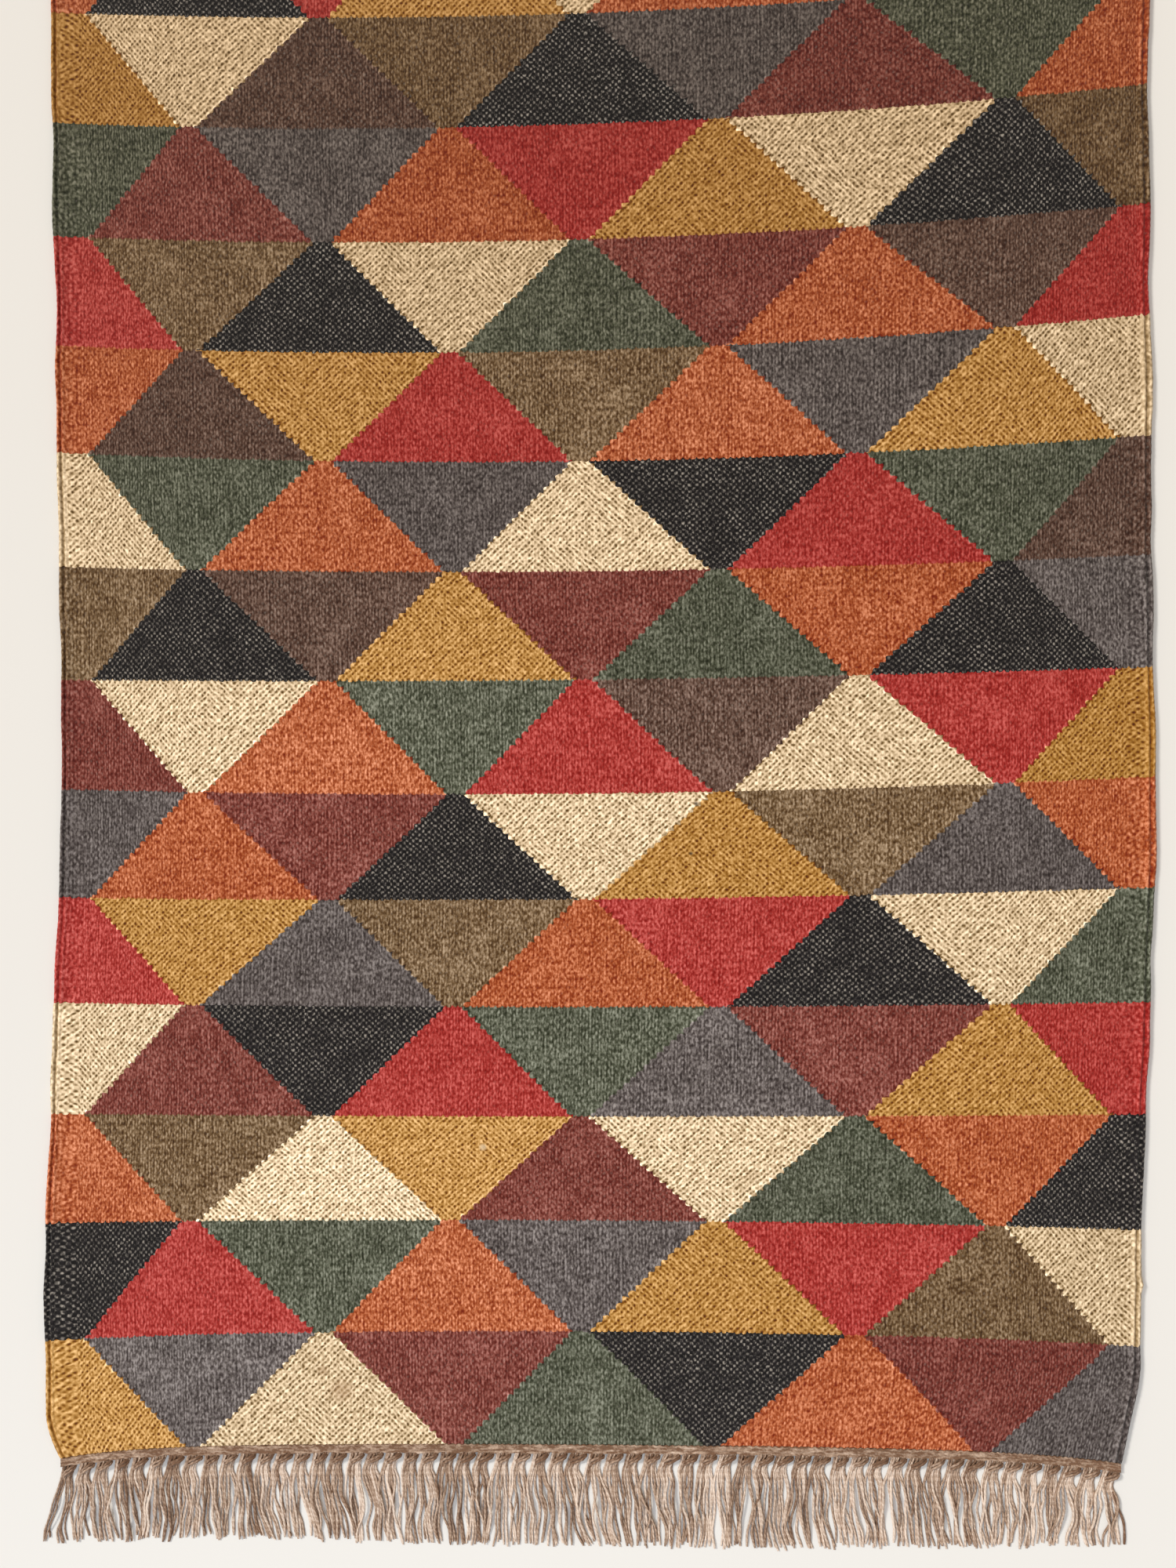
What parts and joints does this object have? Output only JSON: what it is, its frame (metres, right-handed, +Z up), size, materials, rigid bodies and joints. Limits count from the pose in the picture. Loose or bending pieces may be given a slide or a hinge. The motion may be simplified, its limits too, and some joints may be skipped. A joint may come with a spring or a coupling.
{
  "type": "kilim rug",
  "caption": "Flat-woven kilim rug lying flat, with rows of stepped triangles in many colours, corded side edges, and a jute band with a fringe at each end.",
  "frame": {"origin": "middle of the rug's outline with both fringes, at floor level", "axes": "+Z up, +Y along the warp towards the far end, +X to the right along the weft, seen from above"},
  "size_m": [0.92, 1.6474, 0.0052],
  "materials": {
    "wool_cloth": "weft-faced woven wool, matte",
    "jute_fringe": "spun jute, matte"
  },
  "bodies": {
    "root": {"woven_cloth": "wool_cloth", "near_end_fringe": "jute_fringe", "far_end_fringe": "jute_fringe"}
  },
  "joints": []
}
